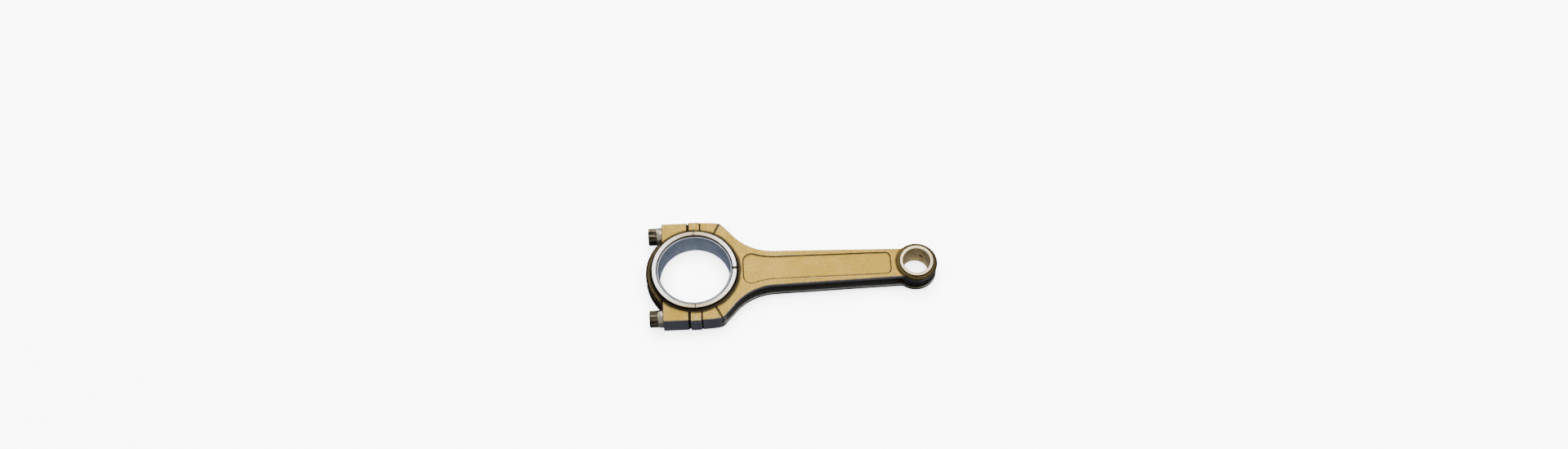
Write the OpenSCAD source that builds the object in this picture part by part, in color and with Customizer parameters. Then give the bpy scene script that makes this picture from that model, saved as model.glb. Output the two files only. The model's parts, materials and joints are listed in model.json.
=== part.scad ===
// H-beam connecting rod with a bolted cap, split big-end bearing and bushed small end.
// The origin is the centre of the crankpin bore. +X runs to the wrist pin, +Z along the crankpin.

/* [Rod] */
// Distance from the crankpin bore's centre to the wrist pin bore's centre
centre_distance = 160; // [150:1:175]
// Thickness of the beam and of the bolt bosses, along the crankpin
beam_thickness = 16.5; // [16:0.5:17.5]
// Half width of the beam where the shoulders run out
beam_half_start = 13.9; // [13:0.1:14.5]
// Taper of each edge of the beam, in degrees
beam_taper = 1.6; // [1:0.1:1.8]
// Thickness of each face plate of the H section
flange_thickness = 3.3; // [3:0.1:3.6]
// Thickness of the web between the two face plates
web_thickness = 4.2; // [3.6:0.1:5]
// Depth of the recessed panel on each face
panel_depth = 0.5; // [0.3:0.1:0.8]

/* [Big end] */
// Bore of the housing that holds the bearing shells
housing_bore = 54; // [53.6:0.1:54.4]
// Width over the two thrust rings
big_end_width = 22; // [21:0.5:23]
// Outside diameter of the thrust rings
thrust_ring_dia = 61.2; // [60.5:0.1:61.6]
// Outside radius of the cap's two ribs
cap_rib_r = 35.2; // [34.8:0.1:35.4]
// Height of the bolt bosses' outer flats above the rod's centreline
boss_half = 39.1; // [38.9:0.1:39.4]
// How far the collar at the parting face stands proud of the boss
collar_rise = 0.5; // [0.4:0.1:1]
// Length of the bolt boss on the cap, from the parting face to the bolt seat
cap_boss_length = 23.3; // [22.6:0.1:24]

/* [Bearing] */
// Wall of each half shell
shell_wall = 1.5; // [1.3:0.1:1.7]
// Width of the half shells
shell_width = 19.6; // [18:0.2:20]

/* [Small end] */
// Bore of the bush, which is the wrist pin's diameter
pin_bore = 19; // [18:0.5:19.5]
// Wall of the bush
bush_wall = 1.5; // [1.3:0.1:1.7]
// Width of the small end over its machined faces
small_end_width = 20; // [19:0.5:21]
// Outside radius of the eye
eye_r = 15.1; // [15:0.1:15.6]
// Diameter of each oil hole in the eye
oil_hole_dia = 3; // [2:0.5:3.5]

/* [Bolts] */
// Distance of each bolt's axis from the rod's centreline
bolt_offset = 33; // [32.8:0.1:33.2]
// Diameter of the bolt's shank and thread
bolt_dia = 9; // [8.6:0.1:9]
// Length of the bolt under its head
bolt_length = 43.5; // [42.5:0.5:45]
// Width across the flats of the twelve-point head
head_across_flats = 11; // [10:0.5:11]

/* [Hidden] */
$fn = 96;
tiny = 0.01;
far = 60;                                         // reaches past everything across the rod

face_z = beam_thickness / 2;
ring_z = big_end_width / 2;
ring_r = thrust_ring_dia / 2;
housing_r = housing_bore / 2;
bore_chamfer = 0.8;
ring_foot_r = 2;                                  // fillet where the thrust ring meets the face
ring_foot_steps = 6;

// Shoulder: a straight slope down from the boss corner, then an arc that runs out into the beam
slope_angle = 48.9;
corner_x = 19.6;
corner_y = boss_half - 1.2;
corner_run = 7.5;                                 // length of the fall towards the corner
runout_x = 57;                                    // where the arc meets the beam
function beam_half(x) = beam_half_start - (x - runout_x) * tan(beam_taper);
meet_x = (corner_y + corner_x * tan(slope_angle) - beam_half_start - runout_x * tan(beam_taper))
         / (tan(slope_angle) - tan(beam_taper));
meet_y = beam_half(meet_x);
arc_tangent = (runout_x - meet_x) / cos(beam_taper);
shoulder_r = arc_tangent / tan((slope_angle - beam_taper) / 2);
shoulder_c = [runout_x + shoulder_r * sin(beam_taper), beam_half(runout_x) + shoulder_r * cos(beam_taper)];
slope_end = [meet_x - arc_tangent * cos(slope_angle), meet_y + arc_tangent * sin(slope_angle)];

// Neck: a fillet circle that touches the beam's edge line and just runs into the eye
neck_r = 8;
neck_eye_r = eye_r - 0.1;
edge_m = -tan(beam_taper);
edge_c = beam_half(0) + neck_r / cos(beam_taper);
neck_b = edge_m * edge_c - centre_distance;
neck_q = pow(centre_distance, 2) + pow(edge_c, 2) - pow(neck_eye_r + neck_r, 2);
neck_x = (-neck_b - sqrt(pow(neck_b, 2) - (1 + pow(edge_m, 2)) * neck_q)) / (1 + pow(edge_m, 2));
neck_c = [neck_x, edge_m * neck_x + edge_c];
neck_start = [neck_x - neck_r * sin(beam_taper), neck_c[1] - neck_r * cos(beam_taper)];
neck_end = [centre_distance, 0] + (neck_c - [centre_distance, 0]) * neck_eye_r / (neck_eye_r + neck_r);

// Panel on each face
panel_x0 = 35;
panel_x1 = centre_distance - 18.5;
panel_half_start = 8.95;
panel_half_end = 8.6;
panel_corner_r = 6;
panel_end_r = 4;
panel_offset = shoulder_c[1] - panel_half_start;  // radius of the flare that follows the shoulder
panel_corner_c = [panel_x0 + panel_corner_r,
    shoulder_c[1] - sqrt(pow(panel_offset + panel_corner_r, 2)
                         - pow(shoulder_c[0] - panel_x0 - panel_corner_r, 2))];
panel_flare = panel_corner_c + (shoulder_c - panel_corner_c) * panel_corner_r
              / (panel_offset + panel_corner_r);

// Side channels of the H section
channel_z = face_z - flange_thickness;
channel_x0 = 18.5;
channel_end_r = 4;                                // corners of the arch at the channel's mouth
big_wall_r = ring_r + 2.6;                        // metal left around the housing bore
waist_z = 4;
waist_depth = 1.3;

// Grooves across the bosses
groove_depth = 0.9;
cap_groove_x = 4.3;
rod_groove_x = 4.6;
rod_groove_depth = 0.5;
rim_mark_angle = 63.4;                            // the groove from the ring to the boss corner
rim_mark_from = 32.6;
rim_mark_width = 1.4;
rim_mark_depth = 0.5;
oil_notch_width = 1.8;                            // across the thrust ring, towards the beam
oil_notch_depth = 0.5;

// Cap rim
rim_channel_z = 4;
rim_channel_r = ring_r + 1.7;
rim_top_z = 6.9;

// Bolts and dowels
bolt_r = bolt_dia / 2;
bolt_hole_r = bolt_r + 0.08;
flange_r = 6.6;
flange_height = 1.6;
head_cone_height = 3.1;
head_height = 9.7;
dimple_r = 2.2;
dimple_depth = 1.2;
tip_chamfer = 0.9;
point_r = head_across_flats / 2 / cos(30);
point_chamfer = 0.45;
cone_top_r = head_across_flats / 2 + 0.5;
dowel_r = bolt_r + 0.65;
dowel_bore_r = bolt_r + 0.09;
dowel_hole_length = 8;
dowel_length = 7.6;
dowel_play = 0.05;                                // running clearance of the dowel in the cap

// Bearing shells and bush
shell_outer_r = housing_r;
shell_inner_r = housing_r - shell_wall;
tang_width = 3.6;
tang_length = 5;
tang_height = 0.9;
tang_z = 5.6;                                     // beside the bolt hole, clear of it
tang_play = 0.1;
bush_r = pin_bore / 2 + bush_wall;
bush_chamfer = 0.6;
eye_land_r = bush_r + 1;
oil_hole_angle = 62;

steel_satin = [0.62, 0.54, 0.38];
steel_dark = [0.16, 0.16, 0.17];
steel_bright = [0.72, 0.73, 0.74];
bearing_grey = [0.45, 0.48, 0.53];
bronze = [0.72, 0.60, 0.38];

module both_sides() { children(); mirror([0, 1, 0]) children(); }
module both_faces() { children(); mirror([0, 0, 1]) children(); }
module along_bolt(side) { translate([0, side * bolt_offset, 0]) rotate([0, 90, 0]) children(); }

// Plan outline of the rod from the parting face to the eye
module rod_outline() {
    both_sides() difference() {
        polygon([[0, 0], [0, boss_half], [corner_x - corner_run, boss_half], [corner_x, corner_y],
                 slope_end, [runout_x, beam_half(runout_x)], neck_start, neck_end, [centre_distance, 0]]);
        translate(shoulder_c) circle(r = shoulder_r, $fn = 180);
        translate(neck_c) circle(r = neck_r);
    }
}

// One face's panel, a little flared where it follows the shoulders
module panel_outline() {
    end_c = [panel_x1 - panel_end_r, panel_half_end - panel_end_r];
    both_sides() difference() {
        union() {
            polygon([[panel_x0, 0], [panel_x0, panel_corner_c[1]], panel_corner_c, panel_flare,
                     [runout_x, panel_half_start], [end_c[0], panel_half_end], end_c,
                     [panel_x1, end_c[1]], [panel_x1, 0]]);
            translate(panel_corner_c) circle(r = panel_corner_r);
            translate(end_c) circle(r = panel_end_r);
        }
        translate(shoulder_c) circle(r = panel_offset, $fn = 180);
        translate([panel_x0 - 1, -far]) square([far + panel_x1, far]);
    }
}

// Thrust rings with a chamfered bore and a filleted foot on each face
module thrust_rings(foot_z) {
    step_z = foot_z + ring_foot_r;
    foot = [for (i = [0:ring_foot_steps]) let (a = 90 * i / ring_foot_steps)
            [ring_r + ring_foot_r * (1 - cos(a)), step_z - ring_foot_r * sin(a)]];
    half_profile = concat([[housing_r, 0], [housing_r, ring_z - bore_chamfer],
                           [housing_r + bore_chamfer, ring_z], [ring_r - 0.3, ring_z], [ring_r, ring_z - 0.3]],
                          foot, [[ring_r + ring_foot_r, 0]]);
    both_faces() rotate_extrude($fn = 180) polygon(half_profile);
}

module half_space(sign) {
    translate([sign > 0 ? 0 : -4 * far, -2 * far, -far]) cube([4 * far, 4 * far, 2 * far]);
}

// V groove across both faces and the outer flat of a boss, at a given distance along the rod.
// It is a little deeper on the flat, so that its edges don't meet in one point at the boss edge.
module boss_groove(x, depth) {
    face_side = depth * sqrt(2);
    flat_side = (depth + 0.1) * sqrt(2);
    both_sides() {
        translate([x, boss_half, 0]) rotate([0, 0, 45]) cube([flat_side, flat_side, far], center = true);
        both_faces() translate([x, ring_r + ring_foot_r + far / 2, face_z]) rotate([0, 45, 0])
            cube([face_side, far, face_side], center = true);
    }
}

// The collar's share on one side of the parting face
module collar(from_x, to_x) {
    both_sides() translate([from_x, boss_half - 2, -face_z])
        cube([to_x - from_x, 2 + collar_rise, beam_thickness]);
}

// Space between the face plates, on both sides of the web
module side_channels() {
    both_sides() intersection() {
        linear_extrude(height = 2 * channel_z, center = true) difference() {
            translate([channel_x0, web_thickness / 2]) square([centre_distance - channel_x0, far]);
            circle(r = big_wall_r);
            translate([centre_distance, 0]) circle(r = eye_r - waist_depth);
        }
        rotate([90, 0, 0]) translate([0, 0, -far]) linear_extrude(height = far) {
            translate([channel_x0 + channel_end_r, -channel_z])
                square([centre_distance - channel_x0 - channel_end_r, 2 * channel_z]);
            translate([channel_x0, channel_end_r - channel_z])
                square([channel_end_r + 1, 2 * (channel_z - channel_end_r)]);
            for (s = [-1, 1])
                translate([channel_x0 + channel_end_r, s * (channel_z - channel_end_r)])
                    circle(r = channel_end_r);
        }
    }
}

module eye() {
    land_z = small_end_width / 2;
    shoulder_z = land_z - 1.1;
    half_profile = [[bush_r, 0], [bush_r, land_z], [eye_land_r, land_z], [eye_land_r + 0.2, land_z - 0.5],
                    [eye_land_r + 0.6, shoulder_z], [eye_r - 1.9, shoulder_z - 0.3],
                    [eye_r - 0.6, shoulder_z - 1.1], [eye_r, shoulder_z - 2.4],
                    [eye_r, waist_z + 0.8], [eye_r - waist_depth, waist_z], [eye_r - waist_depth, 0]];
    translate([centre_distance, 0, 0]) both_faces() rotate_extrude() polygon(half_profile);
}

module oil_holes() {
    both_sides() translate([centre_distance, 0, 0]) rotate([0, 90, oil_hole_angle])
        cylinder(r = oil_hole_dia / 2, h = far, $fn = 48);
}

// Shallow groove on each face from the thrust ring to the boss corner
module rim_marks() {
    both_sides() both_faces() rotate([0, 0, rim_mark_angle])
        translate([rim_mark_from, -rim_mark_width / 2, face_z - rim_mark_depth])
            cube([far, rim_mark_width, far]);
}

// Notch across each thrust ring that lets oil out towards the beam
module oil_notches() {
    both_faces() translate([housing_r - 1, -oil_notch_width / 2, ring_z - oil_notch_depth])
        cube([ring_r - housing_r + 2, oil_notch_width, far]);
}

module rod_body() {
    color(steel_satin) difference() {
        union() {
            linear_extrude(height = beam_thickness, center = true) rod_outline();
            intersection() { thrust_rings(face_z); half_space(1); }
            collar(0, rod_groove_x);
            eye();
        }
        cylinder(r = housing_r, h = far, center = true, $fn = 180);
        translate([centre_distance, 0, 0]) cylinder(r = bush_r, h = far, center = true);
        side_channels();
        both_faces() translate([0, 0, face_z - panel_depth])
            linear_extrude(height = far) panel_outline();
        boss_groove(rod_groove_x, rod_groove_depth);
        rim_marks();
        oil_notches();
        oil_holes();
        for (side = [-1, 1]) along_bolt(side) {
            translate([0, 0, -1]) cylinder(r = bolt_hole_r, h = far);
            translate([0, 0, -1]) cylinder(r = dowel_r, h = 1 + dowel_hole_length / 2);
        }
        tang(1, tang_play);
    }
}

module cap_rim() {
    half_profile = [[housing_r, 0], [housing_r, ring_z - bore_chamfer], [housing_r + bore_chamfer, ring_z],
                    [ring_r - 0.3, ring_z], [ring_r, ring_z - 0.3], [ring_r + 0.5, ring_z - 2],
                    [ring_r + 1.5, ring_z - 3.3], [cap_rib_r - 1.7, rim_top_z], [cap_rib_r - 0.5, rim_top_z - 0.5],
                    [cap_rib_r, rim_top_z - 1.7], [cap_rib_r, rim_channel_z + 0.7],
                    [rim_channel_r, rim_channel_z - 0.6], [rim_channel_r, 0]];
    both_faces() rotate_extrude($fn = 180) polygon(half_profile);
}

module rod_cap() {
    color(steel_satin) difference() {
        union() {
            intersection() { cap_rim(); half_space(-1); }
            both_sides() translate([-cap_boss_length, housing_r - 5, -face_z])
                cube([cap_boss_length, boss_half - housing_r + 5, beam_thickness]);
            intersection() { thrust_rings(face_z); translate([-cap_boss_length, -far, -far])
                cube([cap_boss_length, 2 * far, 2 * far]); }
            collar(-cap_groove_x, 0);
        }
        cylinder(r = housing_r, h = far, center = true, $fn = 180);
        boss_groove(-cap_groove_x, groove_depth);
        tang(-1, tang_play);
        for (side = [-1, 1]) along_bolt(side) {
            translate([0, 0, -far]) cylinder(r = bolt_hole_r, h = 2 * far);
            translate([0, 0, -dowel_hole_length / 2])
                cylinder(r = dowel_r + dowel_play, h = dowel_hole_length);
        }
    }
}

// Twelve-point flange bolt, its head towards -Z
module cap_bolt() {
    color(steel_dark) translate([0, 0, -cap_boss_length]) difference() {
        union() {
            cylinder(r = bolt_r, h = bolt_length - tip_chamfer);
            translate([0, 0, bolt_length - tip_chamfer])
                cylinder(r1 = bolt_r, r2 = bolt_r - tip_chamfer, h = tip_chamfer);
            translate([0, 0, -flange_height]) cylinder(r = flange_r, h = flange_height);
            translate([0, 0, -flange_height - head_cone_height])
                cylinder(r1 = cone_top_r, r2 = flange_r, h = head_cone_height);
            intersection() {
                for (turn = [0, 30]) rotate(turn) translate([0, 0, -head_height])
                    cylinder(r = point_r, h = head_height - flange_height, $fn = 6);
                translate([0, 0, -head_height - 1])
                    cylinder(r1 = point_r - point_chamfer - 1, r2 = point_r - point_chamfer + head_height,
                             h = head_height + 1);
            }
        }
        translate([0, 0, -head_height - tiny]) cylinder(r = dimple_r, h = dimple_depth + tiny);
    }
}

module cap_bolt_left() { along_bolt(1) cap_bolt(); }
module cap_bolt_right() { along_bolt(-1) cap_bolt(); }

// Hollow dowel that lines the cap up on the rod around each bolt
module ring_dowel(side) {
    color(steel_bright) along_bolt(side) translate([0, 0, -dowel_length / 2]) difference() {
        cylinder(r = dowel_r, h = dowel_length);
        translate([0, 0, -1]) cylinder(r = dowel_bore_r, h = dowel_length + 2);
    }
}
module ring_dowel_left() { ring_dowel(1); }
module ring_dowel_right() { ring_dowel(-1); }

// Locating tang of a half shell at the parting face, or its notch when play is given
module tang(sign, play) {
    depth = tang_height + play;
    translate([sign > 0 ? 0 : -tang_length - play, -housing_r - depth, tang_z - play])
        cube([tang_length + play, depth + 1, tang_width + 2 * play]);
}

// Half of the split plain bearing, on one side of the parting face
module bearing_shell(sign) {
    color(bearing_grey) intersection() {
        difference() {
            union() {
                cylinder(r = shell_outer_r, h = shell_width, center = true, $fn = 180);
                tang(sign, 0);
            }
            cylinder(r = shell_inner_r, h = far, center = true, $fn = 180);
            both_faces() translate([0, 0, shell_width / 2 - 0.5])
                cylinder(r1 = shell_inner_r, r2 = shell_inner_r + 0.55, h = 0.55, $fn = 180);
        }
        half_space(sign);
    }
}
module bearing_shell_rod() { bearing_shell(1); }
module bearing_shell_cap() { bearing_shell(-1); }

module small_end_bush() {
    half_profile = [[pin_bore / 2, 0], [pin_bore / 2, small_end_width / 2 - bush_chamfer],
                    [pin_bore / 2 + bush_chamfer, small_end_width / 2], [bush_r, small_end_width / 2], [bush_r, 0]];
    color(bronze) difference() {
        translate([centre_distance, 0, 0]) both_faces() rotate_extrude() polygon(half_profile);
        oil_holes();
    }
}

rod_body();
rod_cap();
cap_bolt_left();
cap_bolt_right();
ring_dowel_left();
ring_dowel_right();
bearing_shell_rod();
bearing_shell_cap();
small_end_bush();
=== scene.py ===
import json
import math
import bpy
import numpy as np
from mathutils import Matrix, Vector


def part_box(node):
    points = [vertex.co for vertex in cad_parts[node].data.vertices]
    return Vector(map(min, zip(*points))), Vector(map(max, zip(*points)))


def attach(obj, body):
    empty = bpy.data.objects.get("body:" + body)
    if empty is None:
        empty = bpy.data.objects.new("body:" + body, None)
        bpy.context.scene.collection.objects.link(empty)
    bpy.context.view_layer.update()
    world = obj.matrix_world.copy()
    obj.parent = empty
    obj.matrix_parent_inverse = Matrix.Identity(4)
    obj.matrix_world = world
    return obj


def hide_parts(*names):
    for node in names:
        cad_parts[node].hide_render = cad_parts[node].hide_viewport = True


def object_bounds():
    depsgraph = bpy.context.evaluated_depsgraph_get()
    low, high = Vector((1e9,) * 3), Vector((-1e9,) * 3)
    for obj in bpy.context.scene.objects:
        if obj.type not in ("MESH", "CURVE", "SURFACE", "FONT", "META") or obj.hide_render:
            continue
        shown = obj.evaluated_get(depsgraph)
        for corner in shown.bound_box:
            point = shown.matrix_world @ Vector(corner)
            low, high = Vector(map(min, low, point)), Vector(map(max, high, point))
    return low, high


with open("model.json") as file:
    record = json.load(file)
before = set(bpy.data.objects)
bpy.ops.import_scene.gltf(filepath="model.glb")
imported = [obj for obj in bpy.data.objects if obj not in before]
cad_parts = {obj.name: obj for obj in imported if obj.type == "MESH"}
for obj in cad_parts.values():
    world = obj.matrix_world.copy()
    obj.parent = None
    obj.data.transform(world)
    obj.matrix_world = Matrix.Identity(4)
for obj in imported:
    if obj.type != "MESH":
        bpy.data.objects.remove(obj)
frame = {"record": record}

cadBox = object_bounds()  # the CAD model's box, before anything is added
mm = 0.001


# The rod lies flat on its thrust rings. The camera looks down on it from the front.
shot = {
    "lens": 40.7,           # mm, on a 36 mm sensor
    "elevation": 61.95,     # degrees above the floor
    "distance": 1.313,      # m from the camera to the point of the floor in mid frame
    "rodTurn": 2.72,        # how far the rod's +X is turned to the left of the view's right, in degrees
    "boreFromCentre": (-0.0644, -0.0480),  # crankpin bore from mid frame, to the right and away
}
stage = {
    "floorSize": 6.0,
    "floorColor": (0.86, 0.86, 0.855),
    "floorGlow": 8.5, "shadowReach": 0.012, "shadowColor": (0.02, 0.03, 0.06),
    "keyPower": 8.8, "keySize": 0.9, "keyPlace": (0.12, 0.75, 1.25),
    "fillPower": 6, "fillSize": 1.2, "fillPlace": (0.9, -0.35, 1.1),
    "stripPower": 4, "stripSize": (1.3, 0.18), "stripPlace": (0.1, 1.15, 0.5),
    "skyColor": (0.46, 0.465, 0.47), "groundColor": (0.105, 0.118, 0.165),
}


def pointAt(thing, target):
    direction = Vector(target) - thing.location
    thing.rotation_euler = direction.to_track_quat("-Z", "Y").to_euler()


def addCamera(s, floorZ):
    toRod = Matrix.Rotation(math.radians(-s["rodTurn"]), 3, "Z")
    bore = Vector((*s["boreFromCentre"], -floorZ))
    elevation = math.radians(s["elevation"])
    eyePlace = Vector((0, -math.cos(elevation), math.sin(elevation))) * s["distance"]
    data = bpy.data.cameras.new("camera")
    data.lens, data.sensor_width = s["lens"], 36
    data.clip_start, data.clip_end = 0.02, 20
    camera = bpy.data.objects.new("camera", data)
    bpy.context.scene.collection.objects.link(camera)
    camera.location = toRod @ (eyePlace - bore)
    look = toRod @ (-eyePlace)
    # keep the frame level with the view's own horizon, not with the rod
    camera.rotation_euler = look.to_track_quat("-Z", "Y").to_euler()
    bpy.context.scene.camera = camera
    return camera


def addAreaLight(name, power, size, place, target, color=(1, 1, 1)):
    data = bpy.data.lights.new(name, "AREA")
    data.energy, data.color = power, color
    if isinstance(size, tuple):
        data.shape, data.size, data.size_y = "RECTANGLE", size[0], size[1]
    else:
        data.shape, data.size = "DISK", size
    light = bpy.data.objects.new(name, data)
    bpy.context.scene.collection.objects.link(light)
    light.location = place
    pointAt(light, target)
    return light


def addStage(s, floorZ, target):
    half = s["floorSize"] / 2
    mesh = bpy.data.meshes.new("floor")
    corners = [(-half, -half, floorZ), (half, -half, floorZ), (half, half, floorZ), (-half, half, floorZ)]
    mesh.from_pydata(corners, [], [(0, 1, 2, 3)])
    floor = bpy.data.objects.new("floor", mesh)
    bpy.context.scene.collection.objects.link(floor)
    paper = bpy.data.materials.new("paleFloor")
    paper.use_nodes = True
    shader = paper.node_tree.nodes["Principled BSDF"]
    shader.inputs["Base Color"].default_value = (*s["floorColor"], 1)
    shader.inputs["Roughness"].default_value = 0.9
    shader.inputs["Specular IOR Level"].default_value = 0.1
    # the paper glows, less so where the object stands close over it: a painted contact shadow
    tree = paper.node_tree
    near = tree.nodes.new("ShaderNodeAmbientOcclusion")
    near.inputs["Distance"].default_value = s["shadowReach"]
    tint = tree.nodes.new("ShaderNodeMix")
    tint.data_type = "RGBA"
    tint.inputs[6].default_value = (*s["shadowColor"], 1)
    tint.inputs[7].default_value = (1, 1, 1, 1)
    tree.links.new(near.outputs["AO"], tint.inputs[0])
    tree.links.new(tint.outputs[2], shader.inputs["Emission Color"])
    shader.inputs["Emission Strength"].default_value = s["floorGlow"]
    mesh.materials.append(paper)
    floor.visible_glossy = False  # the steel mirrors the dim room below the horizon, not the floor
    addAreaLight("keyLight", s["keyPower"], s["keySize"], s["keyPlace"], target, (1.0, 0.98, 0.95))
    addAreaLight("fillLight", s["fillPower"], s["fillSize"], s["fillPlace"], target, (0.93, 0.96, 1.0))
    addAreaLight("stripLight", s["stripPower"], s["stripSize"], s["stripPlace"], target)

    world = bpy.data.worlds.new("studioRoom")
    world.use_nodes = True
    bpy.context.scene.world = world
    tree = world.node_tree
    coords = tree.nodes.new("ShaderNodeTexCoord")
    split = tree.nodes.new("ShaderNodeSeparateXYZ")
    ramp = tree.nodes.new("ShaderNodeMapRange")
    ramp.inputs["From Min"].default_value, ramp.inputs["From Max"].default_value = -0.08, 0.5
    ramp.interpolation_type = "SMOOTHSTEP"
    mix = tree.nodes.new("ShaderNodeMix")
    mix.data_type = "RGBA"
    mix.inputs[6].default_value = (*s["groundColor"], 1)
    mix.inputs[7].default_value = (*s["skyColor"], 1)
    background = tree.nodes["Background"]
    tree.links.new(coords.outputs["Generated"], split.inputs[0])
    tree.links.new(split.outputs["Z"], ramp.inputs["Value"])
    tree.links.new(ramp.outputs["Result"], mix.inputs[0])
    tree.links.new(mix.outputs[2], background.inputs["Color"])


floorZ = cadBox[0].z
addCamera(shot, floorZ)
addStage(stage, floorZ, (0.07, 0, 0))
print("camera, floor and lights are set")


# The forged pieces are described by a signed distance in millimetres: below zero is metal.
# Rounded edges and fillets come from how two distances are combined.
def meet(a, b, r=0.0):
    if r <= 0:
        return np.maximum(a, b)
    u, v = np.maximum(a + r, 0), np.maximum(b + r, 0)
    return np.minimum(-r, np.maximum(a, b)) + np.sqrt(u * u + v * v)


def join(a, b, r=0.0):
    return -meet(-a, -b, r)


def cut(a, b, r=0.0):
    return meet(a, -b, r)


def chamfered(a, b, c):
    return np.maximum(np.maximum(a, b), (a + b + c) * math.sqrt(0.5))


def gradient(field, p, reach):
    g = np.empty_like(p)
    for axis in range(3):
        step = np.zeros(3)
        step[axis] = reach
        up, down = p + step, p - step
        g[:, axis] = field(*up.T) - field(*down.T)
    return g / (2 * reach)


def settle(field, p, limit, turns):
    for _ in range(turns):
        f = field(*p.T)
        g = gradient(field, p, 0.04)
        move = -(f / np.maximum((g * g).sum(1), 0.2))[:, None] * g
        size = np.sqrt((move * move).sum(1))[:, None]
        p = p + move * np.minimum(1, limit / np.maximum(size, 1e-9))
    return p


# A net of quads over the zero surface: one point in each grid cell that the surface crosses
def netOver(field, low, high, step):
    axes = [np.arange(lo - 2.3 * step, hi + 2.3 * step, step) for lo, hi in zip(low, high)]
    values = field(*np.meshgrid(*axes, indexing="ij")).astype(np.float32)
    inside = values < 0
    corners = [(i, j, k) for i in (0, 1) for j in (0, 1) for k in (0, 1)]
    shape = tuple(n - 1 for n in values.shape)
    count = sum(inside[i:i + shape[0], j:j + shape[1], k:k + shape[2]].astype(np.int8)
                for i, j, k in corners)
    cells = np.argwhere((count > 0) & (count < 8))
    number = np.full(shape, -1, np.int64)
    number[tuple(cells.T)] = np.arange(len(cells))
    total, hits = np.zeros((len(cells), 3)), np.zeros(len(cells))
    for a in corners:
        for axis in range(3):
            if a[axis] == 1:
                continue
            b = tuple(1 if n == axis else a[n] for n in range(3))
            va = values[tuple((cells + a).T)].astype(float)
            vb = values[tuple((cells + b).T)].astype(float)
            crossed = (va < 0) != (vb < 0)
            t = np.where(crossed, va / np.where(crossed, va - vb, 1), 0)
            place = cells + a + t[:, None] * (np.array(b) - np.array(a))
            total += place * crossed[:, None]
            hits += crossed
    origin = np.array([axis[0] for axis in axes])
    points = origin + total / hits[:, None] * step
    quads = []
    for axis in range(3):
        one, two = (axis + 1) % 3, (axis + 2) % 3
        first = np.take(inside, range(values.shape[axis] - 1), axis)
        second = np.take(inside, range(1, values.shape[axis]), axis)
        edges = np.argwhere(first != second)
        edges = edges[(edges[:, one] > 0) & (edges[:, two] > 0)]
        ring = []
        for da, db in ((0, 0), (-1, 0), (-1, -1), (0, -1)):
            cell = edges.copy()
            cell[:, one] += da
            cell[:, two] += db
            ring.append(number[tuple(cell.T)])
        quad = np.stack(ring, 1)
        outward = first[tuple(edges.T)]
        quads.append(np.where(outward[:, None], quad, quad[:, ::-1]))
    return points, np.concatenate(quads)


def meshFrom(name, points, faces):
    mesh = bpy.data.meshes.new(name)
    faces = np.asarray(faces)
    mesh.vertices.add(len(points))
    mesh.vertices.foreach_set("co", np.asarray(points, np.float32).ravel())
    mesh.loops.add(faces.size)
    mesh.loops.foreach_set("vertex_index", faces.ravel().astype(np.int32))
    mesh.polygons.add(len(faces))
    sides = faces.shape[1]
    mesh.polygons.foreach_set("loop_start", np.arange(0, faces.size, sides, dtype=np.int32))
    mesh.polygons.foreach_set("loop_total", np.full(len(faces), sides, np.int32))
    mesh.update(calc_edges=True)
    mesh.validate()
    return mesh


def place(name, mesh):
    piece = bpy.data.objects.new(name, mesh)
    bpy.context.scene.collection.objects.link(piece)
    return piece


# Turns an object's modifiers into its mesh and clears them
def applyAll(piece):
    graph = bpy.context.evaluated_depsgraph_get()
    solid = bpy.data.meshes.new_from_object(piece.evaluated_get(graph), depsgraph=graph)
    solid.name = piece.name
    old = piece.data
    piece.modifiers.clear()
    if piece.type == "CURVE":
        name = piece.name
        bpy.data.objects.remove(piece)
        return place(name, solid)
    piece.data = solid
    if old.users == 0:
        bpy.data.meshes.remove(old)
    return piece


forging = {
    "settleLimit": 0.05, "normalReach": 0.07,         # mm a point may still move, and a normal's span
    "bendReach": 0.4, "bendFloor": 0.35,              # mm around a point, and the bend that doesn't yet count
    "shelterReach": (2.5, 6.0), "nookReach": 0.8,     # mm out along the normal
}


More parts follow.
